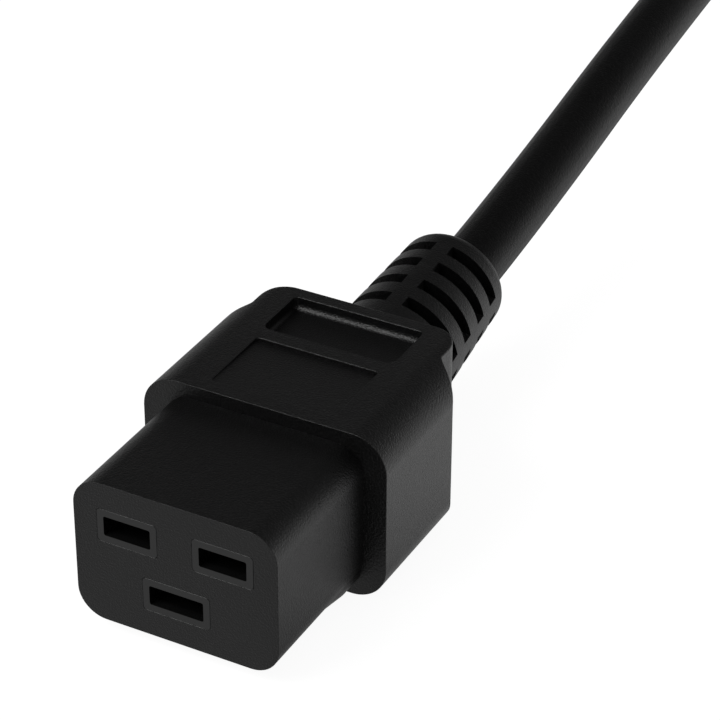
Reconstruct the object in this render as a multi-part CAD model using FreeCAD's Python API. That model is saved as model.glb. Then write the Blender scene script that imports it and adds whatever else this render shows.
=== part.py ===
import FreeCAD, Part
import math
import os

# A 16 A cord connector of the C19 pattern, moulded on a three-core cord whose spare
# length is tied in a hank and ends in a C20 plug.  Millimetres.
# Origin: centre of the connector's mating face.  +Y runs back along the connector to
# its cord, +X lies along the face and +Z is up, so the connector lies on its underside.

Vector = FreeCAD.Vector

# ------------------------------------------------------------------ mating interface
PIN_PITCH = 13.0            # line blade to neutral blade, the standard spacing
ROW_OFFSET = 4.0            # line and neutral above the middle, earth below it
SLOT_HEIGHT = 2.7
SLOT_HALF_WIDTH = {"line": 3.2, "neutral": 3.2, "earth": 3.7}
SLOT_CORNER = 0.25
BLADE_HALF_WIDTH = {"line": 3.0, "neutral": 3.0, "earth": 3.5}
BLADE_HALF_THICKNESS = 1.0
CONNECTOR_POLES = {
    "line": (-PIN_PITCH / 2, ROW_OFFSET),
    "neutral": (PIN_PITCH / 2, ROW_OFFSET),
    "earth": (0.0, -ROW_OFFSET),
}
PLUG_POLES = {
    "line": (PIN_PITCH / 2, ROW_OFFSET),
    "neutral": (-PIN_PITCH / 2, ROW_OFFSET),
    "earth": (0.0, -ROW_OFFSET),
}

# --------------------------------------------------------------- connector overmould
NOSE_HALF_WIDTH = 13.85
NOSE_HALF_HEIGHT = 9.9
NOSE_LENGTH = 20.8
NOSE_CORNER = 3.85
NOSE_EDGE = 0.05            # small radius round the mating face
PAD_START_Y = 10.4          # the nose thickens downwards towards its root
PAD_FULL_Y = 17.2
PAD_MIDDLE_Z = -3.0
PAD_START_SIZE = (13.55, 6.8, 3.8)
PAD_FULL_SIZE = (13.6, 7.75, 3.2)

BODY_HALF_WIDTH = 16.95
BODY_HALF_HEIGHT = 11.75
BODY_CORNER = 4.8
BODY_FRONT_EDGE = 0.08
SHOULDER_Y = 38.3           # the sides start to curve in
NECK_Y = 42.0               # the sides run straight again
NECK_HALF_WIDTH = 13.65
BODY_REAR_Y = 47.5
SHOULDER_LEAN = 0.3         # the curve leaves the side at a slight angle
REAR_CORNER = 3.7           # seen from above
REAR_EDGE = 0.3

LABEL_HALF_WIDTH = 8.6      # shallow recess on the top, its floor tilted
LABEL_FRONT_Y = 23.1
LABEL_REAR_Y = 34.4
LABEL_DEPTH_FRONT = 0.16
LABEL_DEPTH_REAR = 0.45
LABEL_CORNER = 0.5

GRIP_HALF_WIDTH = 9.25      # thumb recess on the top, finger recess underneath
GRIP_FRONT_Y = 36.8
GRIP_REAR_Y = 45.4
GRIP_DEPTH = 1.72
GRIP_FRONT_CORNER = 1.2
GRIP_REAR_CORNER = 0.7
GRIP_FLOOR_RADIUS = 0.55    # hollow round its floor
GRIP_REAR_RADIUS = 0.9      # hollow along its rear wall
RIM_RADIUS = 0.15           # edge of the recesses
LABEL_RIM_RADIUS = 0.12

# ---------------------------------------------------------------------- strain relief
RELIEF_LENGTH = 25.75
RELIEF_BASE_RADIUS = 8.88
RELIEF_TAPER = 0.0506       # radius lost for each millimetre of length
RELIEF_EMBED = 3.0          # how far it runs into the body
RELIEF_END_ROUND = 1.8
RELIEF_SLOT_STARTS = (7.6, 12.0, 16.35, 20.45)
RELIEF_SLOT_WIDTH = 2.0
RELIEF_SLOT_RADIUS = 5.6    # bottom of the slots
RELIEF_WEB_WIDTH = 2.3      # ribs left between the slots of a row
RELIEF_WEB_TURN = 2.5
CONNECTOR_RELIEF_X = 0.15
CONNECTOR_RELIEF_Z = -0.2
CONNECTOR_RELIEF_TILT = 7.7

# ------------------------------------------------------- hard insert and its contacts
TOWER_WALL_X = 0.9          # insert face left and right of each slot
TOWER_WALL_Z = 0.95
TOWER_CORNER = 0.5
TOWER_EDGE = 0.06           # bevel that leaves a fine groove round each tower
TOWER_LENGTH = 15.0
SLOT_LIP = 1.2              # depth of the slot before its contact chamber
CHAMBER_SIDE = 0.3          # chamber wider than its slot, each side
CHAMBER_HALF_HEIGHT = 1.7
CHAMBER_REAR_Y = 17.0
INSERT_HALF_WIDTH = 11.0
INSERT_HALF_HEIGHT = 7.0
INSERT_CORNER = 1.5
INSERT_REAR_Y = 21.0
INNER_MOULD_HALF_HEIGHT = 6.6
INNER_MOULD_REAR_Y = 34.0

CONTACT_FRONT_Y = 6.0
CONTACT_SIDE_GAP = 0.2      # slot side to contact side
CONTACT_PINCH = 0.9         # half of the gap between the two springs
CONTACT_SHEET = 0.65
CONTACT_FLARE = 1.4         # length of the flared mouth
CRIMP_RADIUS = 1.7
CRIMP_REAR_Y = 24.0

# ------------------------------------------------------------------------------- cord
CORD_RADIUS = 4.35
CORE_RADIUS = 1.45
CONDUCTOR_RADIUS = 0.8
CORE_LAY_RADIUS = 1.7       # cores about the cord's axis
CORE_START_GAP = 1.5        # crimp to core insulation
CONDUCTOR_INSERT = 5.5      # conductor inside its crimp
CORE_OVERRUN = 0.6          # cores are trimmed to the leaning end of the sheath
MIN_BEND = 5 * 2 * CORD_RADIUS

FLOOR_Z = -BODY_HALF_HEIGHT
CORD_LIFT = 0.1             # keeps the cord's round underside off the floor plane

HANK_NEAR_Y = 247.5         # centre of the near fold
FOLD_RADIUS = 26.2          # cord's axis in the folds, three diameters
NECK_RADIUS = 36.0          # cord's axis where the runs close in to the tie
TIE_OFFSET = 4.4            # cord's axis either side of the hank's middle at the tie
TIE_HALF_STRAIGHT = 2.0
HANK_LAYERS = 3
HANK_END_Y = 214.0          # the cord arrives on top of the hank
FAR_RISE_START = 12.0       # from the tie, where the far folds stand a layer higher

STRAP_HALF_WIDTH = 8.0
STRAP_THICKNESS = 1.5

# ------------------------------------------------------------------------------- plug
PLUG_SHROUD_HALF_WIDTH = 16.6
PLUG_SHROUD_HALF_HEIGHT = 12.3
PLUG_SHROUD_CORNER = 5.8
PLUG_CAVITY_HALF_WIDTH = 14.15
PLUG_CAVITY_HALF_HEIGHT = 10.15
PLUG_CAVITY_CORNER = 4.1
PLUG_CAVITY_DEPTH = 21.0
PLUG_RIM_EDGE = 0.5
PLUG_SHOULDER_Y = 37.0
PLUG_NECK_Y = 43.0
PLUG_REAR_Y = 52.0
PLUG_BLADE_TIP_Y = {"line": 4.0, "neutral": 4.0, "earth": 2.0}
PLUG_BLADE_REAR_Y = 29.0
PLUG_CRIMP_REAR_Y = 35.0
PLUG_CARRIER_REAR_Y = 28.0
PLUG_INNER_MOULD_REAR_Y = 42.0
PLUG_SHEATH_Y = 48.0
PLUG_RELIEF_TILT = -5.5
BLADE_TIP_STEP = 0.5        # how much the tip is slimmer all round
BLADE_TIP_LENGTH = 1.2
BLADE_CORNER = 0.2
PLUG_AXIS_Z = FLOOR_Z + PLUG_SHROUD_HALF_HEIGHT

# ------------------------------------------------------------------- cord's own route
LAYER_STEP = 2 * CORD_RADIUS
LAYER_ONE_Z = FLOOR_Z + CORD_LIFT + CORD_RADIUS
TOP_RUN_Z = LAYER_ONE_Z + HANK_LAYERS * LAYER_STEP

CORD_ROUTE = [
    (0.15, 41.0, -0.9),
    (0.4, 58.0, 1.0),
    (0.9, 76.0, 3.3),
    (1.0, 100.0, 7.0),
    (0.75, 125.0, 11.3),
    (0.8, 150.0, 15.1),
    (0.5, 175.0, 17.7),
    (0.0, 196.0, TOP_RUN_Z),
    (0.0, HANK_END_Y, TOP_RUN_Z),
]
LEAD_ROUTE = [
    (0.6, 380.0, LAYER_ONE_Z),
    (0.6, 390.0, LAYER_ONE_Z),
    (0.5, 401.0, LAYER_ONE_Z + 1.3),
    (0.3, 412.0, LAYER_ONE_Z + 4.5),
    (0.1, 423.0, PLUG_AXIS_Z - 0.7),
    (0.0, 434.0, PLUG_AXIS_Z),
    (0.0, 444.0, PLUG_AXIS_Z),
]
PLUG_FACE_Y = LEAD_ROUTE[-1][1] + PLUG_SHEATH_Y


# -------------------------------------------------------------------- shape functions
def hull_wire(centres, radius, y):
    """Outline across Y at one distance round a convex ring of (x, z) centres."""
    count = len(centres)
    normals = []
    for index, (x, z) in enumerate(centres):
        next_x, next_z = centres[(index + 1) % count]
        length = math.hypot(next_x - x, next_z - z)
        normals.append(((next_z - z) / length, -(next_x - x) / length))
    edges = []
    for index, (x, z) in enumerate(centres):
        before = normals[index - 1]
        after = normals[index]
        middle_x = before[0] + after[0]
        middle_z = before[1] + after[1]
        reach = radius / math.hypot(middle_x, middle_z)
        arc_start = Vector(x + radius * before[0], y, z + radius * before[1])
        arc_middle = Vector(x + reach * middle_x, y, z + reach * middle_z)
        arc_end = Vector(x + radius * after[0], y, z + radius * after[1])
        next_x, next_z = centres[(index + 1) % count]
        line_end = Vector(next_x + radius * after[0], y, next_z + radius * after[1])
        edges.append(Part.Arc(arc_start, arc_middle, arc_end).toShape())
        edges.append(Part.LineSegment(arc_end, line_end).toShape())
    return Part.Wire(edges)


def section(half_x, half_z, corner, y, x=0.0, z=0.0):
    """Rounded rectangle standing across Y."""
    inner_x = half_x - corner
    inner_z = half_z - corner
    centres = [
        (x + inner_x, z - inner_z),
        (x + inner_x, z + inner_z),
        (x - inner_x, z + inner_z),
        (x - inner_x, z - inner_z),
    ]
    return hull_wire(centres, corner, y)


def block(half_x, half_z, corner, start_y, end_y, x=0.0, z=0.0):
    """Rounded rectangle drawn out along Y."""
    outline = section(half_x, half_z, corner, start_y, x, z)
    return Part.Face(outline).extrude(Vector(0, end_y - start_y, 0))


def rod(radius, start_y, end_y, x, z):
    """Round bar along Y."""
    return Part.makeCylinder(radius, end_y - start_y, Vector(x, start_y, z), Vector(0, 1, 0))


def side_profile(points, half_width):
    """Polygon of (y, z) points drawn out across X."""
    corners = [Vector(-half_width, y, z) for y, z in points]
    outline = Part.makePolygon(corners + [corners[0]])
    return Part.Face(outline).extrude(Vector(2 * half_width, 0, 0))


def soften(shape, y, radius):
    """Fillet every edge that lies in the plane at y."""
    edges = []
    for edge in shape.Edges:
        box = edge.BoundBox
        if abs(box.YMin - y) < 1e-4 and abs(box.YMax - y) < 1e-4:
            edges.append(edge)
    return shape.makeFillet(radius, edges)


def rounded_path(points):
    """Straight runs joined by tangent arcs; gives the wire and the arcs' radii."""
    corners = [Vector(*point) for point in points]
    edges = []
    radii = []
    cursor = corners[0]
    for before, corner, after in zip(corners, corners[1:], corners[2:]):
        run_in = corner - before
        run_out = after - corner
        half_turn = run_in.getAngle(run_out) / 2
        shorter = min(run_in.Length, run_out.Length)
        setback = 0.45 * shorter
        radius = setback / math.tan(half_turn)
        to_before = (before - corner).normalize()
        to_after = (after - corner).normalize()
        inward = (to_before + to_after).normalize()
        centre_reach = radius / math.cos(half_turn)
        arc_start = corner + to_before * setback
        arc_middle = corner + inward * (centre_reach - radius)
        arc_end = corner + to_after * setback
        edges.append(Part.LineSegment(cursor, arc_start).toShape())
        edges.append(Part.Arc(arc_start, arc_middle, arc_end).toShape())
        radii.append(radius)
        cursor = arc_end
    edges.append(Part.LineSegment(cursor, corners[-1]).toShape())
    return Part.Wire(edges), radii


def tube(points, radius):
    """Round solid along a rounded path."""
    path, _ = rounded_path(points)
    start = Vector(*points[0])
    heading = Vector(*points[1]) - start
    ring = Part.Wire([Part.makeCircle(radius, start, heading)])
    return path.makePipeShell([ring], True, False)


def report_tube(name, points, radius):
    """Print the bends of a cord tube and its volume against section times length."""
    path, radii = rounded_path(points)
    expected = math.pi * radius ** 2 * path.Length
    share = tube(points, radius).Volume / expected
    bends = ", ".join(f"{value:.0f}" for value in radii)
    print(f"{name}: length {path.Length:.1f}, volume share {share:.4f}, radii {bends}")
    if min(radii) < MIN_BEND:
        print(f"{name}: a bend is under five diameters")


def strain_relief(base, tilt):
    """Tapered cord guard with rows of slots, leaning by tilt degrees."""
    base_radius = RELIEF_BASE_RADIUS + RELIEF_TAPER * RELIEF_EMBED
    end_radius = RELIEF_BASE_RADIUS - RELIEF_TAPER * RELIEF_LENGTH
    round_centre_r = end_radius - RELIEF_END_ROUND
    round_start_y = RELIEF_LENGTH - RELIEF_END_ROUND
    diagonal = RELIEF_END_ROUND * math.sqrt(0.5)
    axis_start = Vector(0, -RELIEF_EMBED, 0)
    base_rim = Vector(base_radius, -RELIEF_EMBED, 0)
    round_start = Vector(end_radius, round_start_y, 0)
    round_middle = Vector(round_centre_r + diagonal, round_start_y + diagonal, 0)
    round_end = Vector(round_centre_r, RELIEF_LENGTH, 0)
    axis_end = Vector(0, RELIEF_LENGTH, 0)
    outline = Part.Wire([
        Part.LineSegment(axis_start, base_rim).toShape(),
        Part.LineSegment(base_rim, round_start).toShape(),
        Part.Arc(round_start, round_middle, round_end).toShape(),
        Part.LineSegment(round_end, axis_end).toShape(),
        Part.LineSegment(axis_end, axis_start).toShape(),
    ])
    guard = Part.Face(outline).revolve(Vector(0, 0, 0), Vector(0, 1, 0), 360)
    outside = 2 * RELIEF_BASE_RADIUS
    for start in RELIEF_SLOT_STARTS:
        end = start + RELIEF_SLOT_WIDTH
        ring = rod(outside, start, end, 0, 0).cut(rod(RELIEF_SLOT_RADIUS, start, end, 0, 0))
        upright = block(RELIEF_WEB_WIDTH / 2, outside, 0.1, start - 1, end + 1)
        level = block(outside, RELIEF_WEB_WIDTH / 2, 0.1, start - 1, end + 1)
        webs = upright.fuse(level)
        webs.rotate(Vector(0, 0, 0), Vector(0, 1, 0), RELIEF_WEB_TURN)
        guard = guard.cut(ring.cut(webs))
    guard.rotate(Vector(0, 0, 0), Vector(1, 0, 0), tilt)
    guard.translate(Vector(*base))
    return guard


def shoulder_plan(half_width, start_y, shoulder_y, neck_y, rear_y, half_height):
    """Outline seen from above, drawn through the height: sides that curve in to a neck."""
    low = -half_height
    turn_y = (neck_y - shoulder_y) / 3
    corner_y = rear_y - REAR_CORNER
    flat = NECK_HALF_WIDTH - REAR_CORNER
    diagonal = REAR_CORNER * math.sqrt(0.5)
    edges = [Part.makeLine(Vector(-half_width, start_y, low), Vector(half_width, start_y, low))]
    for side in (1, -1):
        wide = side * half_width
        slim = side * NECK_HALF_WIDTH
        curve = Part.BezierCurve()
        curve.setPoles([
            Vector(wide, shoulder_y, low),
            Vector(wide - side * SHOULDER_LEAN, shoulder_y + turn_y, low),
            Vector(slim, neck_y - turn_y, low),
            Vector(slim, neck_y, low),
        ])
        corner_start = Vector(slim, corner_y, low)
        corner_middle = Vector(side * (flat + diagonal), corner_y + diagonal, low)
        corner_end = Vector(side * flat, rear_y, low)
        edges.append(Part.makeLine(Vector(wide, start_y, low), Vector(wide, shoulder_y, low)))
        edges.append(curve.toShape())
        edges.append(Part.makeLine(Vector(slim, neck_y, low), corner_start))
        edges.append(Part.Arc(corner_start, corner_middle, corner_end).toShape())
    edges.append(Part.makeLine(Vector(-flat, rear_y, low), Vector(flat, rear_y, low)))
    outline = Part.Wire(Part.__sortEdges__(edges))
    return Part.Face(outline).extrude(Vector(0, 0, 2 * half_height))


def pocket(half_width, front_y, rear_y, half_height, depth):
    """Block that cuts a pocket of even depth into the top, its corners rounded."""
    middle_y = (front_y + rear_y) / 2
    floor = half_height - depth
    width = 2 * half_width
    length = rear_y - front_y
    corner = Vector(-half_width, front_y, floor)
    shape = Part.makeBox(width, length, depth + 1, corner)
    for radius, at_front in ((GRIP_FRONT_CORNER, True), (GRIP_REAR_CORNER, False)):
        uprights = []
        for edge in shape.Edges:
            box = edge.BoundBox
            if box.ZLength > depth and box.XLength < 1e-4 and (box.YMax < middle_y) == at_front:
                uprights.append(edge)
        shape = shape.makeFillet(radius, uprights)
    floor_edges = [edge for edge in shape.Edges if edge.BoundBox.ZMax < floor + 1e-4]
    shape = shape.makeFillet(GRIP_FLOOR_RADIUS, floor_edges)
    rear = Part.makeBox(width, length, depth + 1, corner)
    rear_edges = []
    for edge in rear.Edges:
        box = edge.BoundBox
        if box.ZMax < floor + 1e-4 and box.YMin > rear_y - 1e-4:
            rear_edges.append(edge)
    return shape.common(rear.makeFillet(GRIP_REAR_RADIUS, rear_edges))


def cut_pockets(moulding, half_height, shift_y=0.0):
    """Thumb recess in the top and finger recess in the underside, their rims softened."""
    front_y = GRIP_FRONT_Y + shift_y
    rear_y = GRIP_REAR_Y + shift_y
    cutter = pocket(GRIP_HALF_WIDTH, front_y, rear_y, half_height, GRIP_DEPTH)
    lower = cutter.mirror(Vector(0, 0, 0), Vector(0, 0, 1))
    moulding = moulding.cut(cutter).cut(lower)
    rims = rim_edges(moulding, GRIP_HALF_WIDTH, front_y, rear_y, half_height)
    return moulding.makeFillet(RIM_RADIUS, rims)


def rim_edges(moulding, half_width, front_y, rear_y, half_height):
    """Edges of a recess that lie in the top or the underside."""
    rims = []
    for edge in moulding.Edges:
        box = edge.BoundBox
        level = box.ZLength < 1e-4 and abs(abs(box.ZMax) - half_height) < 1e-4
        inside = abs(box.XMin) < half_width + 0.1 and abs(box.XMax) < half_width + 0.1
        if level and inside and box.YMin > front_y - 0.1 and box.YMax < rear_y + 0.1:
            rims.append(edge)
    return rims


def label_recess():
    """Shallow tilted pocket on the top of the connector."""
    outside = BODY_HALF_HEIGHT + 1
    cutter = side_profile([
        (LABEL_FRONT_Y, BODY_HALF_HEIGHT - LABEL_DEPTH_FRONT),
        (LABEL_REAR_Y, BODY_HALF_HEIGHT - LABEL_DEPTH_REAR),
        (LABEL_REAR_Y, outside),
        (LABEL_FRONT_Y, outside),
    ], LABEL_HALF_WIDTH)
    upright_edges = [edge for edge in cutter.Edges if edge.BoundBox.ZLength > 0.9]
    return cutter.makeFillet(LABEL_CORNER, upright_edges)


# --------------------------------------------------------------------- wires and cores
def core_route(pole, centre, start_y, straight_y, gather_y, end_y):
    """A core from its crimp to its place in the cord, both ends straight."""
    x, z = pole
    turn = math.atan2(z, x)
    end_x = centre[0] + CORE_LAY_RADIUS * math.cos(turn_in_cord(turn))
    end_z = centre[1] + CORE_LAY_RADIUS * math.sin(turn_in_cord(turn))
    return [(x, start_y, z), (x, straight_y, z), (end_x, gather_y, end_z), (end_x, end_y, end_z)]


def turn_in_cord(turn):
    """Nearest of the three places, a third of a turn apart, that the cores take."""
    places = [math.radians(angle) for angle in (30, 150, -90)]
    return min(places, key=lambda place: abs(math.remainder(place - turn, 2 * math.pi)))


def core_pair(route, crimp_rear_y):
    """Insulation and bare conductor of one core."""
    x, start_y, z = route[0]
    bare = rod(CONDUCTOR_RADIUS, crimp_rear_y - CONDUCTOR_INSERT, start_y, x, z)
    strand = tube(route, CONDUCTOR_RADIUS)
    conductor = bare.fuse(strand).removeSplitter()
    insulation = tube(route, CORE_RADIUS).cut(strand)
    return insulation, conductor


# ------------------------------------------------------------------- connector's parts
def contact(name):
    """Folded receptacle: two springs, a web behind them and a crimp barrel."""
    x, z = CONNECTOR_POLES[name]
    half_width = SLOT_HALF_WIDTH[name] - CONTACT_SIDE_GAP
    half_height = CONTACT_PINCH + CONTACT_SHEET
    web_front_y = CHAMBER_REAR_Y - CONTACT_SHEET
    shell = block(half_width, half_height, 0.3, CONTACT_FRONT_Y, CHAMBER_REAR_Y, x, z)
    gap = block(half_width + 1, CONTACT_PINCH, 0.1, CONTACT_FRONT_Y - 1, web_front_y, x, z)
    mouth = side_profile([
        (CONTACT_FRONT_Y - 0.1, z - half_height + 0.1),
        (CONTACT_FRONT_Y + CONTACT_FLARE, z - CONTACT_PINCH + 0.01),
        (CONTACT_FRONT_Y + CONTACT_FLARE, z + CONTACT_PINCH - 0.01),
        (CONTACT_FRONT_Y - 0.1, z + half_height - 0.1),
    ], half_width + 1)
    mouth.translate(Vector(x, 0, 0))
    barrel = rod(CRIMP_RADIUS, CHAMBER_REAR_Y, CRIMP_REAR_Y, x, z)
    bore = rod(CONDUCTOR_RADIUS, CRIMP_REAR_Y - CONDUCTOR_INSERT, CRIMP_REAR_Y, x, z)
    return shell.cut(gap).cut(mouth).fuse(barrel).cut(bore)


def contact_carrier():
    """Hard insert: three towers flush with the mating face on one base block."""
    base = block(INSERT_HALF_WIDTH, INSERT_HALF_HEIGHT, INSERT_CORNER, TOWER_LENGTH, INSERT_REAR_Y)
    towers = []
    voids = []
    for name, (x, z) in CONNECTOR_POLES.items():
        slot_half = SLOT_HALF_WIDTH[name]
        tower_half = slot_half + TOWER_WALL_X
        tower_height = SLOT_HEIGHT / 2 + TOWER_WALL_Z
        tower = block(tower_half, tower_height, TOWER_CORNER, 0, TOWER_LENGTH, x, z)
        towers.append(soften(tower, 0, TOWER_EDGE))
        voids.append(block(slot_half, SLOT_HEIGHT / 2, SLOT_CORNER, -1, SLOT_LIP, x, z))
        chamber_half = slot_half + CHAMBER_SIDE
        voids.append(block(chamber_half, CHAMBER_HALF_HEIGHT, 0.3, SLOT_LIP, CHAMBER_REAR_Y, x, z))
        voids.append(rod(CRIMP_RADIUS, CHAMBER_REAR_Y, INSERT_REAR_Y + 1, x, z))
    return base.multiFuse(towers).cut(Part.makeCompound(voids))


def insert_envelope():
    """Outside of the hard insert, as the overmould flows round it."""
    shape = block(INSERT_HALF_WIDTH, INSERT_HALF_HEIGHT, INSERT_CORNER, TOWER_LENGTH, INSERT_REAR_Y)
    for name, (x, z) in CONNECTOR_POLES.items():
        tower_half = SLOT_HALF_WIDTH[name] + TOWER_WALL_X
        tower_height = SLOT_HEIGHT / 2 + TOWER_WALL_Z
        tower = block(tower_half, tower_height, TOWER_CORNER, -1, TOWER_LENGTH, x, z)
        mouth = (tower_half + 2 * TOWER_EDGE, tower_height + 2 * TOWER_EDGE, TOWER_CORNER)
        flare = [section(*mouth, -TOWER_EDGE, x, z),
                 section(tower_half, tower_height, TOWER_CORNER, TOWER_EDGE, x, z)]
        shape = shape.fuse(tower).fuse(Part.makeLoft(flare, True, True))
    return shape


def connector_outside():
    """Nose, body and strain relief of the connector, one moulding."""
    nose = block(NOSE_HALF_WIDTH, NOSE_HALF_HEIGHT, NOSE_CORNER, 0, NOSE_LENGTH + 1)
    nose = soften(nose, 0, NOSE_EDGE)
    pad_start = section(*PAD_START_SIZE, PAD_START_Y, 0, PAD_MIDDLE_Z)
    pad_full = section(*PAD_FULL_SIZE, PAD_FULL_Y, 0, PAD_MIDDLE_Z)
    pad = Part.makeLoft([pad_start, pad_full], True, True)
    pad_root = block(*PAD_FULL_SIZE, PAD_FULL_Y, NOSE_LENGTH + 1, 0, PAD_MIDDLE_Z)
    body = block(BODY_HALF_WIDTH, BODY_HALF_HEIGHT, BODY_CORNER, NOSE_LENGTH, BODY_REAR_Y)
    plan = shoulder_plan(BODY_HALF_WIDTH, NOSE_LENGTH, SHOULDER_Y, NECK_Y, BODY_REAR_Y,
                         BODY_HALF_HEIGHT)
    body = soften(body.common(plan), NOSE_LENGTH, BODY_FRONT_EDGE)
    body = soften(body, BODY_REAR_Y, REAR_EDGE)
    body = body.cut(label_recess())
    label_rim = rim_edges(body, LABEL_HALF_WIDTH, LABEL_FRONT_Y, LABEL_REAR_Y, BODY_HALF_HEIGHT)
    body = cut_pockets(body.makeFillet(LABEL_RIM_RADIUS, label_rim), BODY_HALF_HEIGHT)
    relief_base = (CONNECTOR_RELIEF_X, BODY_REAR_Y, CONNECTOR_RELIEF_Z)
    guard = strain_relief(relief_base, CONNECTOR_RELIEF_TILT)
    return body.fuse(nose).fuse(pad).fuse(pad_root).fuse(guard)


def build_connector(cord):
    """All pieces of the connector, each under its node's name."""
    pieces = {}
    inner = block(INSERT_HALF_WIDTH, INNER_MOULD_HALF_HEIGHT, INSERT_CORNER,
                  INSERT_REAR_Y, INNER_MOULD_REAR_Y)
    centre = (CORD_ROUTE[0][0], CORD_ROUTE[0][2])
    core_start = CRIMP_REAR_Y + CORE_START_GAP
    wiring = []
    for name, pole in CONNECTOR_POLES.items():
        receptacle = contact(name)
        sheath_y = CORD_ROUTE[0][1] + CORE_OVERRUN
        route = core_route(pole, centre, core_start, core_start + 4, 37.0, sheath_y)
        insulation, conductor = [shape.cut(cord) for shape in core_pair(route, CRIMP_REAR_Y)]
        pieces[f"{name}_contact"] = receptacle
        pieces[f"{name}_core"] = insulation
        pieces[f"{name}_conductor"] = conductor
        wiring += [receptacle, insulation, conductor]
    pieces["contact_carrier"] = contact_carrier()
    pieces["inner_mould"] = inner.cut(wiring)
    filling = [insert_envelope(), inner, cord] + wiring
    pieces["connector_overmould"] = connector_outside().cut(filling)
    return pieces


# ------------------------------------------------------------------------ plug's parts
def blade(name):
    """Flat pin with a chamfered tip, carried back into a crimp barrel."""
    x, z = PLUG_POLES[name]
    half_width = BLADE_HALF_WIDTH[name]
    tip_y = PLUG_BLADE_TIP_Y[name]
    full_y = tip_y + BLADE_TIP_LENGTH
    tip_width = half_width - BLADE_TIP_STEP
    tip = section(tip_width, BLADE_HALF_THICKNESS - BLADE_TIP_STEP, BLADE_CORNER, tip_y, x, z)
    full = section(half_width, BLADE_HALF_THICKNESS, BLADE_CORNER, full_y, x, z)
    shank = block(half_width, BLADE_HALF_THICKNESS, BLADE_CORNER, full_y, PLUG_BLADE_REAR_Y, x, z)
    pin = Part.makeLoft([tip, full], True, True).fuse(shank)
    barrel = rod(CRIMP_RADIUS, PLUG_BLADE_REAR_Y, PLUG_CRIMP_REAR_Y, x, z)
    bore = rod(CONDUCTOR_RADIUS, PLUG_CRIMP_REAR_Y - CONDUCTOR_INSERT, PLUG_CRIMP_REAR_Y, x, z)
    return pin.fuse(barrel).cut(bore)


def plug_outside():
    """Shroud, grip and strain relief of the plug, one moulding."""
    front = (PLUG_SHROUD_HALF_WIDTH, PLUG_SHROUD_HALF_HEIGHT, PLUG_SHROUD_CORNER)
    plan = shoulder_plan(PLUG_SHROUD_HALF_WIDTH, 0, PLUG_SHOULDER_Y, PLUG_NECK_Y, PLUG_REAR_Y,
                         PLUG_SHROUD_HALF_HEIGHT)
    body = soften(block(*front, 0, PLUG_REAR_Y).common(plan), 0, PLUG_RIM_EDGE)
    body = soften(body, PLUG_REAR_Y, REAR_EDGE)
    body = cut_pockets(body, PLUG_SHROUD_HALF_HEIGHT, PLUG_REAR_Y - BODY_REAR_Y)
    cavity = block(PLUG_CAVITY_HALF_WIDTH, PLUG_CAVITY_HALF_HEIGHT, PLUG_CAVITY_CORNER,
                   -1, PLUG_CAVITY_DEPTH)
    guard = strain_relief((0, PLUG_REAR_Y, 0), PLUG_RELIEF_TILT)
    return body.cut(cavity).fuse(guard)


def place_plug(shape):
    """Turn a piece of the plug to face +Y and lay the plug on the floor."""
    placed = shape.copy()
    placed.rotate(Vector(0, 0, 0), Vector(0, 0, 1), 180)
    placed.translate(Vector(LEAD_ROUTE[-1][0], PLUG_FACE_Y, PLUG_AXIS_Z))
    return placed


def build_plug(lead):
    """All pieces of the plug, each under its node's name."""
    pieces = {}
    carrier = block(INSERT_HALF_WIDTH, INSERT_HALF_HEIGHT, INSERT_CORNER,
                    PLUG_CAVITY_DEPTH, PLUG_CARRIER_REAR_Y)
    inner = block(INSERT_HALF_WIDTH, INNER_MOULD_HALF_HEIGHT, INSERT_CORNER,
                  PLUG_CARRIER_REAR_Y, PLUG_INNER_MOULD_REAR_Y)
    core_start = PLUG_CRIMP_REAR_Y + CORE_START_GAP
    wiring = []
    for name, pole in PLUG_POLES.items():
        pin = blade(name)
        route = core_route(pole, (0, 0), core_start, core_start + 3.5, 45.0, PLUG_SHEATH_Y)
        insulation, conductor = core_pair(route, PLUG_CRIMP_REAR_Y)
        pieces[f"plug_{name}_blade"] = pin
        pieces[f"plug_{name}_core"] = insulation
        pieces[f"plug_{name}_conductor"] = conductor
        wiring += [pin, insulation, conductor]
    pieces["plug_pin_carrier"] = carrier.cut(wiring)
    pieces["plug_inner_mould"] = inner.cut(wiring)
    moulding = plug_outside().cut([carrier, inner] + wiring)
    placed = {name: place_plug(shape) for name, shape in pieces.items()}
    placed["plug_overmould"] = place_plug(moulding).cut(lead)
    return placed


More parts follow.
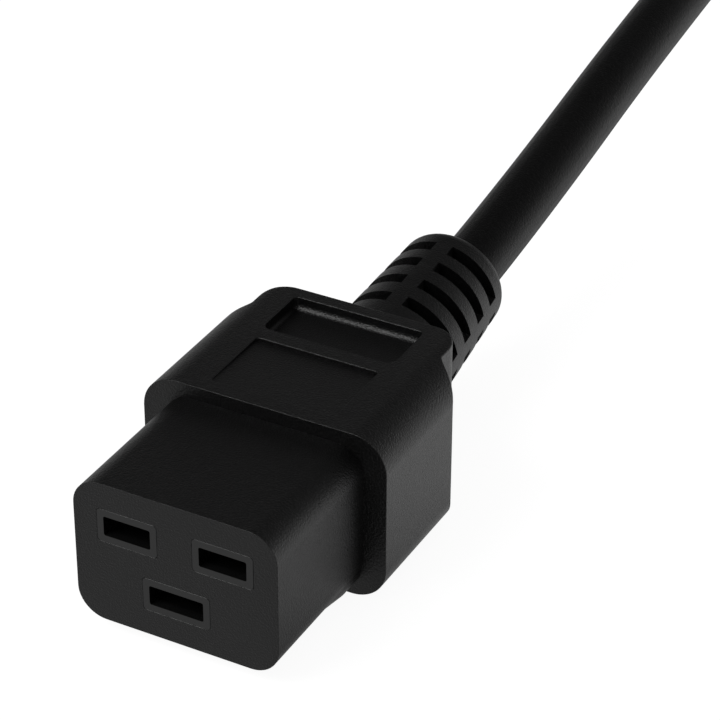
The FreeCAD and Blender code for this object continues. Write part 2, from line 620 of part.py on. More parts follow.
# ------------------------------------------------------------------------ cord's parts
def hank_outline(z):
    """Plan of the hank: two round folds drawn together at the tie between them."""
    fold = FOLD_RADIUS + CORD_RADIUS
    neck = NECK_RADIUS - CORD_RADIUS
    spread = FOLD_RADIUS + NECK_RADIUS
    lean = math.acos((NECK_RADIUS + TIE_OFFSET) / spread)
    far_y = HANK_NEAR_Y + 2 * (TIE_HALF_STRAIGHT + spread * math.sin(lean))
    waist = TIE_OFFSET + CORD_RADIUS

    def rim(centre_x, centre_y, radius, turn):
        return Vector(centre_x + radius * math.cos(turn), centre_y + radius * math.sin(turn), z)

    reach_x = spread * math.cos(lean)
    reach_y = spread * math.sin(lean)
    half = math.pi / 2
    edges = []
    for centre_y, side in ((far_y, 1), (HANK_NEAR_Y, -1)):
        start = rim(0, centre_y, fold, side * -lean)
        top = rim(0, centre_y, fold, side * half)
        end = rim(0, centre_y, fold, side * (math.pi + lean))
        edges.append(Part.Arc(start, top, end).toShape())
        neck_y = centre_y - side * reach_y
        for hand in (1, -1):
            outer = rim(hand * reach_x, neck_y, neck, half * 2 if hand == 1 else 0)
            joint = start if hand == 1 else end
            middle_turn = side * (math.pi - lean / 2) if hand == 1 else side * lean / 2
            middle = rim(hand * reach_x, neck_y, neck, middle_turn)
            edges.append(Part.Arc(joint, middle, outer).toShape())
    waist_low = HANK_NEAR_Y + reach_y
    waist_high = far_y - reach_y
    for x in (waist, -waist):
        low = Vector(x, waist_low, z)
        high = Vector(x, waist_high, z)
        edges.append(Part.LineSegment(low, high).toShape())
    return Part.Wire(Part.__sortEdges__(edges)), (waist_low + waist_high) / 2, far_y


def strap_hull(radius, y):
    """Outline round the tied bundle: two stacks of runs and one run on top of them."""
    low = LAYER_ONE_Z + STRAP_THICKNESS
    high = low + (HANK_LAYERS - 1) * LAYER_STEP
    nested = high + math.sqrt(LAYER_STEP ** 2 - TIE_OFFSET ** 2)
    centres = [
        (TIE_OFFSET, low),
        (TIE_OFFSET, high),
        (0.0, nested),
        (-TIE_OFFSET, high),
        (-TIE_OFFSET, low),
    ]
    return hull_wire(centres, radius, y)


def build_hank():
    """The tied spare cord as one closed solid, and the strap round its middle."""
    outline, tie_y, far_y = hank_outline(FLOOR_Z)
    plan = Part.Face(outline)
    body = plan.extrude(Vector(0, 0, HANK_LAYERS * LAYER_STEP))
    tall = plan.extrude(Vector(0, 0, (HANK_LAYERS + 1) * LAYER_STEP))
    far_length = far_y - tie_y + FOLD_RADIUS
    far_side = Part.makeBox(200, far_length, 100, Vector(-100, tie_y + FAR_RISE_START, -50))
    ridge_start = Vector(-CORD_RADIUS, HANK_END_Y, TOP_RUN_Z - LAYER_STEP)
    ridge_length = tie_y + FAR_RISE_START + 1 - HANK_END_Y
    ridge_side = Part.makeBox(LAYER_STEP, ridge_length, LAYER_STEP, ridge_start)
    ridge_top = rod(CORD_RADIUS, HANK_END_Y, HANK_END_Y + ridge_length, 0, TOP_RUN_Z)
    lead_x, lead_y, lead_z = LEAD_ROUTE[0]
    stub = rod(CORD_RADIUS, far_y, lead_y, lead_x, lead_z)
    bundle = body.fuse(tall.common(far_side)).fuse(ridge_side).fuse(ridge_top).fuse(stub)
    strap_start = tie_y - STRAP_HALF_WIDTH
    along = Vector(0, 2 * STRAP_HALF_WIDTH, 0)
    inner = Part.Face(strap_hull(CORD_RADIUS, strap_start)).extrude(along)
    outer = Part.Face(strap_hull(CORD_RADIUS + STRAP_THICKNESS, strap_start)).extrude(along)
    around = Part.makeBox(100, 2 * STRAP_HALF_WIDTH, 100, Vector(-50, strap_start, -50))
    bundle = bundle.cut(around.cut(inner))
    return bundle.removeSplitter(), outer.cut(inner)


# ------------------------------------------------------------------------------ output
def single_solid(name, shape):
    """The one solid of a piece, with a message if it isn't sound."""
    solids = shape.Solids
    if len(solids) != 1:
        volumes = ", ".join(f"{solid.Volume:.2f}" for solid in solids)
        print(f"{name}: {len(solids)} solids ({volumes})")
    largest = max(solids, key=lambda solid: solid.Volume)
    if not largest.isValid():
        print(f"{name}: not valid")
    return largest


def main():
    """Build every piece and write one STEP file for each."""
    os.makedirs("parts", exist_ok=True)
    report_tube("cord_tube", CORD_ROUTE, CORD_RADIUS)
    report_tube("cord_lead", LEAD_ROUTE, CORD_RADIUS)
    cord = tube(CORD_ROUTE, CORD_RADIUS)
    lead = tube(LEAD_ROUTE, CORD_RADIUS)
    hank, strap = build_hank()
    pieces = build_connector(cord)
    pieces.update(build_plug(lead))
    pieces.update({"cord_tube": cord, "cord_hank": hank, "hank_strap": strap, "cord_lead": lead})
    for name, shape in sorted(pieces.items()):
        solid = single_solid(name, shape)
        solid.exportStep(f"parts/{name}.step")
        print(f"{name}: {solid.Volume:.1f} mm3")


main()
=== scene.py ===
"""Blender scene of a 16 A cord connector: finishes, flexible cord, pale studio and camera."""

import logging
import math
from dataclasses import dataclass, field
from enum import Enum

import bmesh
import bpy
from mathutils import Matrix, Vector


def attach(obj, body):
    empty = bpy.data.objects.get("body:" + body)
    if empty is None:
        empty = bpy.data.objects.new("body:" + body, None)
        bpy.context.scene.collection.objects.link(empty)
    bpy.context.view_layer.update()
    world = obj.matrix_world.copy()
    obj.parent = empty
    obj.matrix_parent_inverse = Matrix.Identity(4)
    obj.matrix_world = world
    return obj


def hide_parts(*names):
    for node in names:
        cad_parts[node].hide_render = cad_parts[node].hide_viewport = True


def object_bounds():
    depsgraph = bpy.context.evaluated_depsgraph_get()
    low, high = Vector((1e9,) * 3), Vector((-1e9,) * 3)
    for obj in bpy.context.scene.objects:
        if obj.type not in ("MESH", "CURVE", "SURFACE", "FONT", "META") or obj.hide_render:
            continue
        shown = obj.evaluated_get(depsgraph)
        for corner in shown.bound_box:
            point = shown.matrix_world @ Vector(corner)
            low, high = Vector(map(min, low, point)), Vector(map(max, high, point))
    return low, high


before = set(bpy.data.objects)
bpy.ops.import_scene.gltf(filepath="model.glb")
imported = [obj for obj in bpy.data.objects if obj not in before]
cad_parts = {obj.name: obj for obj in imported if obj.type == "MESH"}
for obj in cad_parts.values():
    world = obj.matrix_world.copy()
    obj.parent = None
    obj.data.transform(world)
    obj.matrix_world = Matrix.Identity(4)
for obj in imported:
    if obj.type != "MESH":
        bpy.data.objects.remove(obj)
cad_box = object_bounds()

log = logging.getLogger("connector")

MM = 0.001
BODY = "root"
WELD_DISTANCE = 1e-7
SHARP_ANGLE = math.radians(32.0)
FLAT_FACE_WEIGHT = 100
Point = tuple[float, float, float]
Span = tuple[float, float]
Colour = tuple[float, float, float]


class Slot(Enum):
    """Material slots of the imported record."""

    MOULDED = "moulded_pvc"
    INSERT = "insert_plastic"
    INNER = "inner_plastic"
    SHEATH = "cord_sheath"
    STRAP = "strap_fabric"
    CONTACT = "contact_brass"
    BLADE = "blade_metal"
    BROWN = "brown_core"
    BLUE = "blue_core"
    GREEN = "green_core"
    COPPER = "conductor_copper"


CORE_SLOTS = {"line": Slot.BROWN, "neutral": Slot.BLUE, "earth": Slot.GREEN}


# ---------------------------------------------------------------------------- node helpers
class Nodes:
    """Short calls for laying out a node tree."""

    def __init__(self, tree: bpy.types.NodeTree) -> None:
        """Hold the tree that the calls add to."""
        self.tree = tree

    def add(self, kind: str, **settings: object) -> bpy.types.Node:
        """Add a node.

        Args:
            kind: Blender's name of the node type.
            **settings: attributes of the node.

        Returns:
            The new node.
        """
        node = self.tree.nodes.new(kind)
        for name, value in settings.items():
            setattr(node, name, value)
        return node

    def feed(self, socket: bpy.types.NodeSocket, value: object) -> None:
        """Give one input its value.

        Args:
            socket: the input.
            value: an output to join to it, or a number or numbers to set.
        """
        if isinstance(value, bpy.types.NodeSocket):
            self.tree.links.new(value, socket)
        else:
            socket.default_value = value

    def fill(self, node: bpy.types.Node, **values: object) -> None:
        """Feed inputs of a node by name, with underscores for spaces."""
        for name, value in values.items():
            self.feed(node.inputs[name.replace("_", " ")], value)

    def math(self, operation: str, first: object, second: object) -> bpy.types.NodeSocket:
        """Add a Math node.

        Args:
            operation: Blender's name of the operation.
            first: an output or a number.
            second: an output or a number.

        Returns:
            The result.
        """
        node = self.add("ShaderNodeMath", operation=operation)
        self.feed(node.inputs[0], first)
        self.feed(node.inputs[1], second)
        return node.outputs[0]

    def place(self) -> bpy.types.NodeSocket:
        """Give the position in the object's own frame."""
        return self.add("ShaderNodeTexCoord").outputs["Object"]

    def noise(self, where: bpy.types.NodeSocket, scale: object,
              detail: float) -> bpy.types.NodeSocket:
        """Add a Noise Texture.

        Args:
            where: the position.
            scale: an output or a number.
            detail: octaves of the noise.

        Returns:
            The noise's value.
        """
        node = self.add("ShaderNodeTexNoise")
        self.fill(node, Vector=where, Scale=scale, Detail=detail)
        return node.outputs["Fac"]

    def ramp(self, value: bpy.types.NodeSocket, span: Span, low: object = 0.0,
             high: object = 1.0) -> bpy.types.NodeSocket:
        """Turn a value's span into another one, held level beyond its ends.

        Args:
            value: the value.
            span: the value's two ends.
            low: an output or a number, the result at the first end.
            high: an output or a number, the result at the second end.

        Returns:
            The result.
        """
        node = self.add("ShaderNodeMapRange")
        self.fill(node, Value=value, From_Min=span[0], From_Max=span[1], To_Min=low, To_Max=high)
        return node.outputs["Result"]

    def blend(self, share: bpy.types.NodeSocket, first: Colour,
              second: Colour) -> bpy.types.NodeSocket:
        """Mix two colours.

        Args:
            share: how much of the second there is.
            first: the first colour.
            second: the second colour.

        Returns:
            The mixed colour.
        """
        node = self.add("ShaderNodeMix", data_type="RGBA")
        self.fill(node, Factor=share, A=(*first, 1.0), B=(*second, 1.0))
        return node.outputs["Result"]

    def bump(self, height: bpy.types.NodeSocket, depth: float) -> bpy.types.NodeSocket:
        """Add a Bump node.

        Args:
            height: the height map, from 0 to 1.
            depth: the map's real depth, in metres.

        Returns:
            The bent normal.
        """
        node = self.add("ShaderNodeBump")
        self.fill(node, Distance=depth, Height=height)
        return node.outputs["Normal"]

    def mirrored(self, path: bpy.types.Node) -> bpy.types.NodeSocket:
        """Give 1 for a ray that saw a reflection or came through glass, or else 0."""
        rays = path.outputs
        return self.math("MAXIMUM", rays["Is Glossy Ray"], rays["Is Transmission Ray"])


def shaded(colour: Colour, share: float) -> Colour:
    """Give a colour at a share of its brightness."""
    return tuple(channel * share for channel in colour)


def new_material(name: str) -> tuple[bpy.types.Material, Nodes, bpy.types.Node]:
    """Make a material with nodes.

    Args:
        name: the material's name.

    Returns:
        The material, the calls for its tree, and its Principled BSDF.
    """
    made = bpy.data.materials.new(name)
    made.use_nodes = True
    return made, Nodes(made.node_tree), made.node_tree.nodes["Principled BSDF"]


def new_group(name: str, entry: str, default: float,
              results: tuple[str, ...]) -> bpy.types.NodeTree:
    """Make an empty shader group with number sockets.

    Args:
        name: the group's name.
        entry: the name of its one input.
        default: the input's value where a material sets none.
        results: names of the outputs.

    Returns:
        The group, with its input and output nodes placed.
    """
    group = bpy.data.node_groups.new(name, "ShaderNodeTree")
    kind = "NodeSocketFloat"
    socket = group.interface.new_socket(entry, in_out="INPUT", socket_type=kind)
    socket.default_value = default
    for label in results:
        group.interface.new_socket(label, in_out="OUTPUT", socket_type=kind)
    group.nodes.new("NodeGroupInput")
    group.nodes.new("NodeGroupOutput")
    return group


@dataclass
class SharedEffects:
    """Surface effects that more than one material uses, each built once."""

    grains: float = 3000.0
    coarse_scale: float = 0.31
    fine_share: float = 0.85
    coarse_share: float = 0.15
    speckle_span: Span = (0.5, 0.72)
    patches: float = 90.0
    groups: dict[str, bpy.types.NodeTree] = field(default_factory=dict)

    def moulding_grain(self) -> bpy.types.NodeTree:
        """Make the fine spark-eroded grain that a moulding tool leaves.

        Returns:
            A group that gives a height and a speckle mask.
        """
        name, entry = "moulding grain", "Grains per metre"
        if name not in self.groups:
            group = new_group(name, entry, self.grains, ("Height", "Speckle"))
            nodes = Nodes(group)
            scale = group.nodes["Group Input"].outputs[entry]
            where = nodes.place()
            fine = nodes.noise(where, scale, detail=3.0)
            coarse_scale = nodes.math("MULTIPLY", scale, self.coarse_scale)
            coarse = nodes.noise(where, coarse_scale, detail=1.0)
            height = nodes.math("ADD", nodes.math("MULTIPLY", fine, self.fine_share),
                                nodes.math("MULTIPLY", coarse, self.coarse_share))
            nodes.fill(group.nodes["Group Output"], Height=height,
                       Speckle=nodes.ramp(fine, self.speckle_span))
            self.groups[name] = group
        return self.groups[name]

    def handling(self) -> bpy.types.NodeTree:
        """Make the slow uneven sheen that handling and mould release leave.

        Returns:
            A group that gives one mask.
        """
        name, entry = "handling", "Patches per metre"
        if name not in self.groups:
            group = new_group(name, entry, self.patches, ("Mask",))
            nodes = Nodes(group)
            scale = group.nodes["Group Input"].outputs[entry]
            mask = nodes.noise(nodes.place(), scale, detail=2.0)
            nodes.fill(group.nodes["Group Output"], Mask=mask)
            self.groups[name] = group
        return self.groups[name]


EFFECTS = SharedEffects()


# -------------------------------------------------------------------------------- finishes
@dataclass(frozen=True)
class Plastic:
    """A moulded plastic with grain, speckle and uneven sheen."""

    name: str
    colour: Colour
    roughness: float = 0.35
    roughness_spread: float = 0.04
    grains: float = 2500.0
    grain_depth: float = 0.00001
    speckle: float = 1.1
    gloss: float = 0.5

    def material(self) -> bpy.types.Material:
        """Build the material.

        Returns:
            The material, with its colour, roughness and bump made by nodes.
        """
        made, nodes, shader = new_material(self.name)
        grain = nodes.add("ShaderNodeGroup", node_tree=EFFECTS.moulding_grain())
        nodes.fill(grain, Grains_per_metre=self.grains)
        sheen = nodes.add("ShaderNodeGroup", node_tree=EFFECTS.handling())
        spread = nodes.math("MULTIPLY", sheen.outputs["Mask"], 2 * self.roughness_spread)
        specks = shaded(self.colour, self.speckle)
        nodes.fill(
            shader,
            Base_Color=nodes.blend(grain.outputs["Speckle"], self.colour, specks),
            Specular_IOR_Level=self.gloss,
            Roughness=nodes.math("ADD", spread, self.roughness - self.roughness_spread),
            Normal=nodes.bump(grain.outputs["Height"], self.grain_depth),
        )
        return made


@dataclass(frozen=True)
class Metal:
    """A worked metal with fine drawing lines."""

    name: str
    colour: Colour
    roughness: float
    lines: float = 2500.0
    stretch: Point = (1.0, 0.04, 1.0)
    darkest: float = 0.82
    polish: float = 0.1
    roughness_spread: float = 0.25
    line_depth: float = 0.00001

    def material(self) -> bpy.types.Material:
        """Build the material.

        Returns:
            The material, with stretched lines in its colour, roughness and bump.
        """
        made, nodes, shader = new_material(self.name)
        stretch = nodes.add("ShaderNodeMapping")
        nodes.fill(stretch, Vector=nodes.place(), Scale=self.stretch)
        drawn = nodes.noise(stretch.outputs["Vector"], self.lines, detail=3.0)
        spread = nodes.math("MULTIPLY", drawn, self.roughness_spread)
        nodes.fill(
            shader,
            Base_Color=nodes.blend(drawn, shaded(self.colour, self.darkest), self.colour),
            Metallic=1.0,
            Roughness=nodes.math("ADD", spread, self.roughness - self.polish),
            Normal=nodes.bump(drawn, self.line_depth),
        )
        return made


@dataclass(frozen=True)
class Webbing:
    """Woven strap with a fuzzy loop face."""

    name: str
    colour: Colour
    threads: float = 1600.0
    threads_per_scale: float = 6.0
    unevenness: float = 0.6
    low_thread: float = 0.5
    high_thread: float = 1.6
    roughness: float = 0.9
    fuzz: float = 0.3
    thread_depth: float = 0.0001

    def material(self) -> bpy.types.Material:
        """Build the material.

        Returns:
            The material, a plain weave in colour and bump with a soft sheen.
        """
        made, nodes, shader = new_material(self.name)
        where = nodes.place()
        scale = self.threads / self.threads_per_scale
        waves = {}
        for direction in ("X", "Y", "Z"):
            wave = nodes.add("ShaderNodeTexWave", bands_direction=direction)
            nodes.fill(wave, Vector=where, Scale=scale, Distortion=self.unevenness)
            waves[direction] = wave.outputs["Fac"]
        weave = nodes.math("MULTIPLY", nodes.math("ADD", waves["X"], waves["Z"]), waves["Y"])
        low, high = shaded(self.colour, self.low_thread), shaded(self.colour, self.high_thread)
        nodes.fill(
            shader,
            Base_Color=nodes.blend(weave, low, high),
            Roughness=self.roughness,
            Sheen_Weight=self.fuzz,
            Normal=nodes.bump(weave, self.thread_depth),
        )
        return made


BLACK = (0.0013, 0.0013, 0.00135)
FINISHES = {
    Slot.MOULDED: Plastic("black moulded PVC", BLACK, roughness_spread=0.03, grains=4300.0,
                          grain_depth=0.00012, speckle=3.4),
    Slot.INSERT: Plastic("black hard insert", (0.0018, 0.0018, 0.00185), roughness=0.36,
                         roughness_spread=0.03, grains=4200.0, grain_depth=0.00002,
                         speckle=1.3, gloss=0.76),
    Slot.INNER: Plastic("natural inner moulding", (0.62, 0.6, 0.55), roughness=0.45,
                        roughness_spread=0.08, speckle=1.02),
    Slot.SHEATH: Plastic("black cord sheath", BLACK, roughness=0.36, roughness_spread=0.05,
                         grains=4000.0, grain_depth=0.0001, speckle=4.0, gloss=0.25),
    Slot.STRAP: Webbing("black strap webbing", (0.016, 0.016, 0.018)),
    Slot.CONTACT: Metal("folded brass", (0.74, 0.56, 0.29), roughness=0.34),
    Slot.BLADE: Metal("nickel plate", (0.74, 0.72, 0.68), roughness=0.28),
    Slot.BROWN: Plastic("brown core", (0.16, 0.06, 0.025)),
    Slot.BLUE: Plastic("blue core", (0.03, 0.13, 0.42)),
    Slot.GREEN: Plastic("green core", (0.06, 0.3, 0.07)),
    Slot.COPPER: Metal("bare copper", (0.78, 0.42, 0.27), roughness=0.36),
}


@dataclass
class Finisher:
    """Gives each piece the one material of its slot."""

    made: dict[Slot, bpy.types.Material] = field(default_factory=dict)

    def dress(self, piece: bpy.types.Object, slot: Slot) -> None:
        """Put a slot's material on a piece.

        Args:
            piece: the object.
            slot: the record's slot.
        """
        if slot not in self.made:
            self.made[slot] = FINISHES[slot].material()
        piece.data.materials.clear()
        piece.data.materials.append(self.made[slot])
        log.info("%s: %s", piece.name, slot.value)


# ------------------------------------------------------------------------------ mesh tools
def add_object(name: str, data: bpy.types.ID) -> bpy.types.Object:
    """Put a new object into the scene.

    Args:
        name: the object's name.
        data: its mesh, curve, camera or lamp.

    Returns:
        The object.
    """
    made = bpy.data.objects.new(name, data)
    bpy.context.scene.collection.objects.link(made)
    return made


def smooth_copy(node: str, name: str) -> bpy.types.Object:
    """Copy a CAD solid into a piece of its own with welded, smoothly shaded faces.

    Args:
        node: the CAD node.
        name: the new piece's name.

    Returns:
        The new piece, riding on the body and standing for the node.
    """
    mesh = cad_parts[node].data.copy()
    mesh.name = name
    work = bmesh.new()
    work.from_mesh(mesh)
    bmesh.ops.remove_doubles(work, verts=work.verts, dist=WELD_DISTANCE)
    work.to_mesh(mesh)
    work.free()
    if "custom_normal" in mesh.attributes:
        mesh.attributes.remove(mesh.attributes["custom_normal"])
    mesh.shade_smooth()
    mesh.set_sharp_from_angle(angle=SHARP_ANGLE)
    piece = add_object(name, mesh)
    weighting = piece.modifiers.new("face weighting", "WEIGHTED_NORMAL")
    weighting.mode = "FACE_AREA"
    weighting.weight = FLAT_FACE_WEIGHT
    weighting.keep_sharp = True
    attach(piece, BODY)
    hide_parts(node)
    return piece


# -------------------------------------------------------------------------- camera, studio
@dataclass
class Camera:
    """The camera, looking down on the connector's right front."""

    azimuth: float = 28.0275
    elevation: float = 32.0981
    roll: float = 0.2676
    distance: float = 328.164 * MM
    target: Point = (13.676 * MM, 20.046 * MM, 22.935 * MM)
    lens: float = 141.46595
    sensor: float = 36.0
    clip: Span = (0.01, 50.0)

    def build(self) -> None:
        """Make the camera and set it as the scene's."""
        data = bpy.data.cameras.new("camera")
        data.sensor_width = self.sensor
        data.lens = self.lens
        data.clip_start, data.clip_end = self.clip
        turn, rise = math.radians(self.azimuth), math.radians(self.elevation)
        level = math.cos(rise)
        back = Vector((math.sin(turn) * level, -math.cos(turn) * level, math.sin(rise)))
        facing = (-back).to_track_quat("-Z", "Y").to_matrix()
        spun = facing @ Matrix.Rotation(math.radians(self.roll), 3, "Z")
        camera = add_object("camera", data)
        camera.location = Vector(self.target) + back * self.distance
        camera.rotation_euler = spun.to_euler()
        bpy.context.scene.camera = camera


@dataclass
class Lamp:
    """One soft rectangular lamp, whose light makes as many bounces as stated."""

    name: str
    place: Point
    size: tuple[float, float]
    power: float
    bounces: int = 0

    def build(self, aim: Vector) -> None:
        """Make the lamp.

        Args:
            aim: the point it faces.
        """
        data = bpy.data.lights.new(self.name, "AREA")
        data.shape = "RECTANGLE"
        data.size, data.size_y = self.size
        data.energy = self.power
        data.cycles.max_bounces = self.bounces
        lamp = add_object(self.name, data)
        lamp.location = self.place
        lamp.rotation_euler = (aim - lamp.location).to_track_quat("-Z", "Y").to_euler()


@dataclass
class Studio:
    """Pale floor, plain world and one soft lamp.

    The floor and the world each have a plain level for the eye and another for
    reflections. In reflections the floor is even in front of the connector (front_glow)
    and, past edge_span on the right, carries a painted shadow of the connector: it rises
    from shadow_side_glow's first value to its second by side_rise's share of x, share of y and
    constant. The world falls there from horizon to ceiling over sky_span, and on the left
    to dim_side of that over dim_span.
    """

    floor_z: float
    floor_size: float = 8.0
    floor_roughness: float = 0.9
    albedo: float = 0.15
    glow: float = 0.93
    front_glow: float = 0.4
    shadow_side_glow: Span = (0.2, 0.72)
    side_rise: Point = (15.0, 8.0, -0.07)
    edge_span: Span = (0.011, 0.015)
    horizon: float = 0.45
    ceiling: float = 0.095
    sky_span: Span = (0.0, 0.65)
    dim_side: float = 0.5
    dim_span: Span = (-0.4, 0.3)
    ambient: float = 0.45
    aim: Point = (0.0, 0.03, 0.0)
    lamp: Lamp = field(
        default_factory=lambda: Lamp("key lamp", (-0.40, -0.50, 0.75), (0.6, 0.6), 5.8))

    def floor(self) -> None:
        """Make the floor: pale to the eye and in reflections, with the object's shadow."""
        half = self.floor_size / 2
        mesh = bpy.data.meshes.new("floor")
        corners = [(-half, -half, 0), (half, -half, 0), (half, half, 0), (-half, half, 0)]
        mesh.from_pydata(corners, [], [(0, 1, 2, 3)])
        floor = add_object("floor", mesh)
        floor.location.z = self.floor_z
        made, nodes, shader = new_material("pale floor")
        path = nodes.add("ShaderNodeLightPath")
        seen = nodes.math("MULTIPLY", path.outputs["Is Camera Ray"], self.glow)
        reflected = nodes.math("MULTIPLY", nodes.mirrored(path), self.reflected_glow(nodes))
        nodes.fill(
            shader,
            Base_Color=(self.albedo, self.albedo, self.albedo, 1.0),
            Roughness=self.floor_roughness,
            Specular_IOR_Level=0.0,
            Emission_Color=(1.0, 1.0, 1.0, 1.0),
            Emission_Strength=nodes.math("ADD", seen, reflected),
        )
        mesh.materials.append(made)

    def reflected_glow(self, nodes: Nodes) -> bpy.types.NodeSocket:
        """Give the floor's brightness in reflections.

        Args:
            nodes: the calls for the floor material's tree.

        Returns:
            The brightness.
        """
        place = nodes.add("ShaderNodeSeparateXYZ")
        nodes.fill(place, Vector=nodes.add("ShaderNodeNewGeometry").outputs["Position"])
        per_x, per_y, constant = self.side_rise
        across = nodes.math("MULTIPLY", place.outputs["X"], per_x)
        along = nodes.math("MULTIPLY", place.outputs["Y"], per_y)
        rise = nodes.math("ADD", nodes.math("ADD", across, along), constant)
        # Painted shadow: right of the connector the floor seen in reflections is dimmest near it
        # and brightens further out
        dimmest, brightest = self.shadow_side_glow
        side = nodes.math("MINIMUM", nodes.math("MAXIMUM", rise, dimmest), brightest)
        return nodes.ramp(place.outputs["X"], self.edge_span, self.front_glow, side)

    def world(self) -> None:
        """Make the world, white to the eye."""
        world = bpy.data.worlds.new("studio")
        bpy.context.scene.world = world
        world.use_nodes = True
        nodes = Nodes(world.node_tree)
        path = nodes.add("ShaderNodeLightPath")
        way = nodes.add("ShaderNodeSeparateXYZ")
        nodes.fill(way, Vector=nodes.add("ShaderNodeTexCoord").outputs["Generated"])
        fall = nodes.ramp(way.outputs["Z"], self.sky_span, self.horizon, self.ceiling)
        side = nodes.ramp(way.outputs["X"], self.dim_span, self.dim_side)
        sky = nodes.math("MULTIPLY", fall, side)
        reflected = nodes.math("MULTIPLY", nodes.mirrored(path), sky)
        plain = nodes.math("MULTIPLY", path.outputs["Is Diffuse Ray"], self.ambient)
        total = nodes.math("ADD", reflected, plain)
        nodes.fill(
            world.node_tree.nodes["Background"],
            Color=(1.0, 1.0, 1.0, 1.0),
            Strength=nodes.math("MAXIMUM", total, path.outputs["Is Camera Ray"]),
        )

    def build(self) -> None:
        """Make the floor, world and lamp."""
        self.floor()
        self.world()
        self.lamp.build(Vector(self.aim))


# ------------------------------------------------------------------------------------ cord
@dataclass
class Hank:
    """Sizes and turns of the tied spare cord, in millimetres and degrees.

    The upper run of each turn comes down by one layer while it goes round the far fold,
    between drop_start and drop_end. Points on the necks, beside the fold, count as
    before_fold or after_fold.
    """

    near_y: float = 247.5
    fold_radius: float = 26.2
    neck_radius: float = 36.0
    tie_offset: float = 4.4
    half_straight: float = 2.0
    layers: int = 3
    fold_steps: int = 12
    neck_steps: int = 3
    strap_lift: float = 1.5
    lift_reach: float = 26.0
    drop_start: float = 95.0
    drop_end: float = 235.0
    before_fold: float = -180.0
    after_fold: float = 360.0

    def __post_init__(self) -> None:
        """Work out where the folds and the tie lie."""
        spread = self.fold_radius + self.neck_radius
        self.lean = math.acos((self.neck_radius + self.tie_offset) / spread)
        self.reach_x = spread * math.cos(self.lean)
        self.reach_y = spread * math.sin(self.lean)
        self.far_y = self.near_y + 2 * (self.half_straight + self.reach_y)
        self.tie_y = (self.near_y + self.far_y) / 2

    def end_loop(self, side: int) -> list[Point]:
        """One end of a turn, from the tie out round the fold and back to the tie.

        The points are corners of the polygon that touches the cord's line, so a smooth
        quadratic spline through their midpoints has the fold's and the necks' radii.

        Args:
            side: 1 for the far end, -1 for the near end.

        Returns:
            (x, y, turn) of each point, where turn is degrees round the fold.
        """
        centre_y = self.far_y if side == 1 else self.near_y
        neck_y = centre_y - side * self.reach_y
        neck_step = self.lean / self.neck_steps
        neck_out = self.neck_radius / math.cos(neck_step / 2)
        neck = []
        for step in range(self.neck_steps):
            turn = (step + 0.5) * neck_step
            x = self.reach_x - neck_out * math.cos(turn)
            neck.append((side * x, neck_y + side * neck_out * math.sin(turn)))
        points = [(x, y, self.before_fold) for x, y in neck]
        fold_step = (math.pi + 2 * self.lean) / self.fold_steps
        fold_out = self.fold_radius / math.cos(fold_step / 2)
        for step in range(self.fold_steps):
            turn = (step + 0.5) * fold_step - self.lean
            x = side * fold_out * math.cos(turn)
            y = centre_y + side * fold_out * math.sin(turn)
            points.append((x, y, math.degrees(turn)))
        points += [(-x, y, self.after_fold) for x, y in reversed(neck)]
        return points

    def lift(self, y: float) -> float:
        """Give how far the strap under the bundle holds the cord up at y."""
        return self.strap_lift * max(0.0, 1 - abs(y - self.tie_y) / self.lift_reach) ** 0.5

    def points(self, layer_z: float, step_z: float) -> list[Point]:
        """All control points of the turns, from the first far fold to the last tie.

        Args:
            layer_z: height of the cord's axis in the lowest layer.
            step_z: height of one layer.

        Returns:
            The points, top layer first.
        """
        route = []
        for turn_number in range(self.layers):
            upper = layer_z + (self.layers - turn_number) * step_z
            for x, y, turn in self.end_loop(1):
                share = (turn - self.drop_start) / (self.drop_end - self.drop_start)
                share = min(1.0, max(0.0, share))
                ease = share * share * (3 - 2 * share)
                route.append((x, y, upper - ease * step_z + self.lift(y)))
            for x, y, _ in self.end_loop(-1):
                route.append((x, y, upper - step_z + self.lift(y)))
        return route


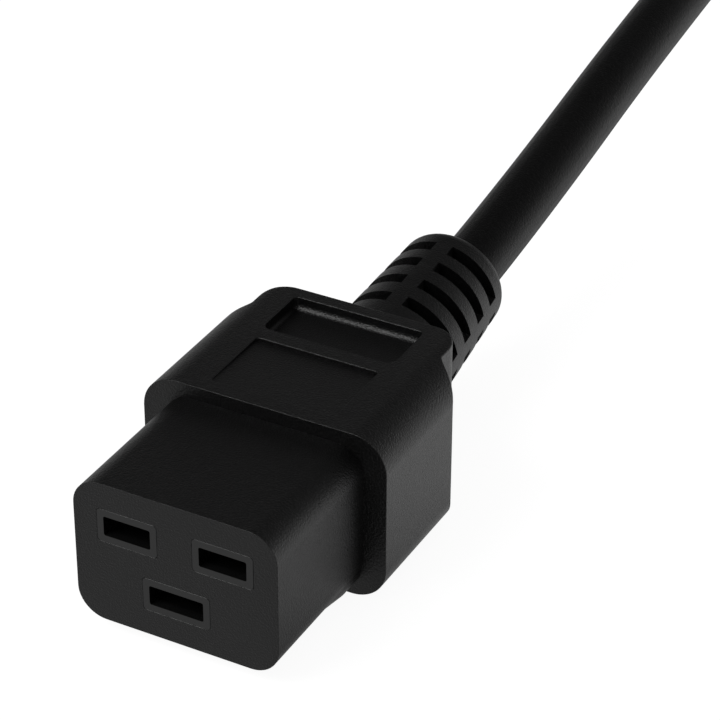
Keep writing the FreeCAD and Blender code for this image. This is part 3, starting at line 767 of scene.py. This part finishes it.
@dataclass
class PowerCord:
    """The cord from the connector, through its hank, to the plug.

    Its length is in metres, and its other sizes and its points are in millimetres.
    """

    hank: Hank = field(default_factory=Hank)
    radius: float = 4.35
    length: float = 1.5
    floor_z: float = -11.65
    plug_axis_z: float = 0.55
    corner_steps: int = 7
    steps_per_point: int = 10

    @property
    def layer_one(self) -> float:
        """Height of the cord's axis where it lies on the floor."""
        return self.floor_z + self.radius

    @property
    def top_run(self) -> float:
        """Height of the cord's axis on top of the hank."""
        return self.layer_one + self.hank.layers * 2 * self.radius

    def route(self) -> list[Point]:
        """Lay out the whole cord.

        Returns:
            Its control points, from the connector to the plug.
        """
        top = self.top_run
        low = self.layer_one
        tie = self.hank.tie_y
        out = [
            (0.15, 41.0, -0.9),
            (0.4, 58.0, 1.0),
            (0.9, 76.0, 3.3),
            (1.0, 100.0, 7.0),
            (0.75, 125.0, 11.3),
            (0.8, 150.0, 15.1),
            (0.5, 175.0, 17.7),
            (0.0, 196.0, top),
            (0.0, 214.0, top),
            (0.1, 234.0, top),
            (0.0, 254.0, top),
            (0.1, 274.0, top + 0.2),
            (0.3, 292.0, top + 0.3),
        ]
        lead = [
            (4.3, tie + 7.0, low + self.hank.lift(tie + 7.0)),
            (3.9, tie + 26.0, low),
            (2.6, tie + 45.0, low),
            (1.4, tie + 64.0, low),
            (0.6, 380.0, low),
            (0.6, 390.0, low),
            (0.5, 401.0, low + 1.3),
            (0.3, 412.0, low + 4.5),
            (0.1, 423.0, self.plug_axis_z - 0.7),
            (0.0, 434.0, self.plug_axis_z),
            (0.0, 444.0, self.plug_axis_z),
        ]
        return out + self.hank.points(low, 2 * self.radius) + lead

    def build(self) -> bpy.types.Object:
        """Make the cord as one smooth curve.

        Returns:
            The curve piece, in place of the cord's CAD solids.
        """
        data = bpy.data.curves.new("power_cord", "CURVE")
        data.dimensions = "3D"
        data.bevel_depth = 1.0
        data.bevel_resolution = self.corner_steps
        data.resolution_u = self.steps_per_point
        data.use_fill_caps = True
        spline = data.splines.new("NURBS")
        route = self.route()
        spline.points.add(len(route) - 1)
        for point, place in zip(spline.points, route):
            point.co = (*(value * MM for value in place), 1.0)
            point.radius = self.radius * MM
        spline.order_u = 3
        spline.use_endpoint_u = True
        cord = add_object("power_cord", data)
        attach(cord, BODY)
        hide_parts("cord_tube", "cord_hank", "cord_lead")
        return cord


# --------------------------------------------------------------------------- sub-assemblies
@dataclass
class Connector:
    """The connector: overmould, hard insert, contacts and wiring."""

    finisher: Finisher

    def build(self) -> None:
        """Make and dress the connector's pieces."""
        overmould = smooth_copy("connector_overmould", "connector_body")
        self.finisher.dress(overmould, Slot.MOULDED)
        insert = smooth_copy("contact_carrier", "hard_insert")
        self.finisher.dress(insert, Slot.INSERT)
        self.finisher.dress(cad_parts["inner_mould"], Slot.INNER)
        for pole, core_slot in CORE_SLOTS.items():
            self.finisher.dress(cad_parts[f"{pole}_contact"], Slot.CONTACT)
            self.finisher.dress(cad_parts[f"{pole}_core"], core_slot)
            self.finisher.dress(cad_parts[f"{pole}_conductor"], Slot.COPPER)


@dataclass
class Plug:
    """The plug at the cord's far end."""

    finisher: Finisher

    def build(self) -> list[bpy.types.Object]:
        """Make and dress the plug's pieces.

        Returns:
            The pieces.
        """
        overmould = smooth_copy("plug_overmould", "plug_body")
        self.finisher.dress(overmould, Slot.MOULDED)
        pieces = [overmould]
        slots = {"plug_pin_carrier": Slot.INSERT, "plug_inner_mould": Slot.INNER}
        for pole, core_slot in CORE_SLOTS.items():
            slots[f"plug_{pole}_blade"] = Slot.BLADE
            slots[f"plug_{pole}_core"] = core_slot
            slots[f"plug_{pole}_conductor"] = Slot.COPPER
        for node, slot in slots.items():
            self.finisher.dress(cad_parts[node], slot)
            pieces.append(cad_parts[node])
        return pieces


def main() -> None:
    """Build the scene in order: camera, cord, connector, plug, strap and studio."""
    logging.basicConfig(level=logging.INFO, format="%(message)s")
    bpy.context.scene.view_settings.view_transform = "Standard"
    Camera().build()
    finisher = Finisher()
    cord = PowerCord()
    cord_piece = cord.build()
    finisher.dress(cord_piece, Slot.SHEATH)
    Connector(finisher).build()
    with_cord = Plug(finisher).build()
    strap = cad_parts["hank_strap"]
    finisher.dress(strap, Slot.STRAP)
    with_cord.append(strap)
    Studio(floor_z=cad_box[0].z).build()


if __name__ == "__main__":
    main()
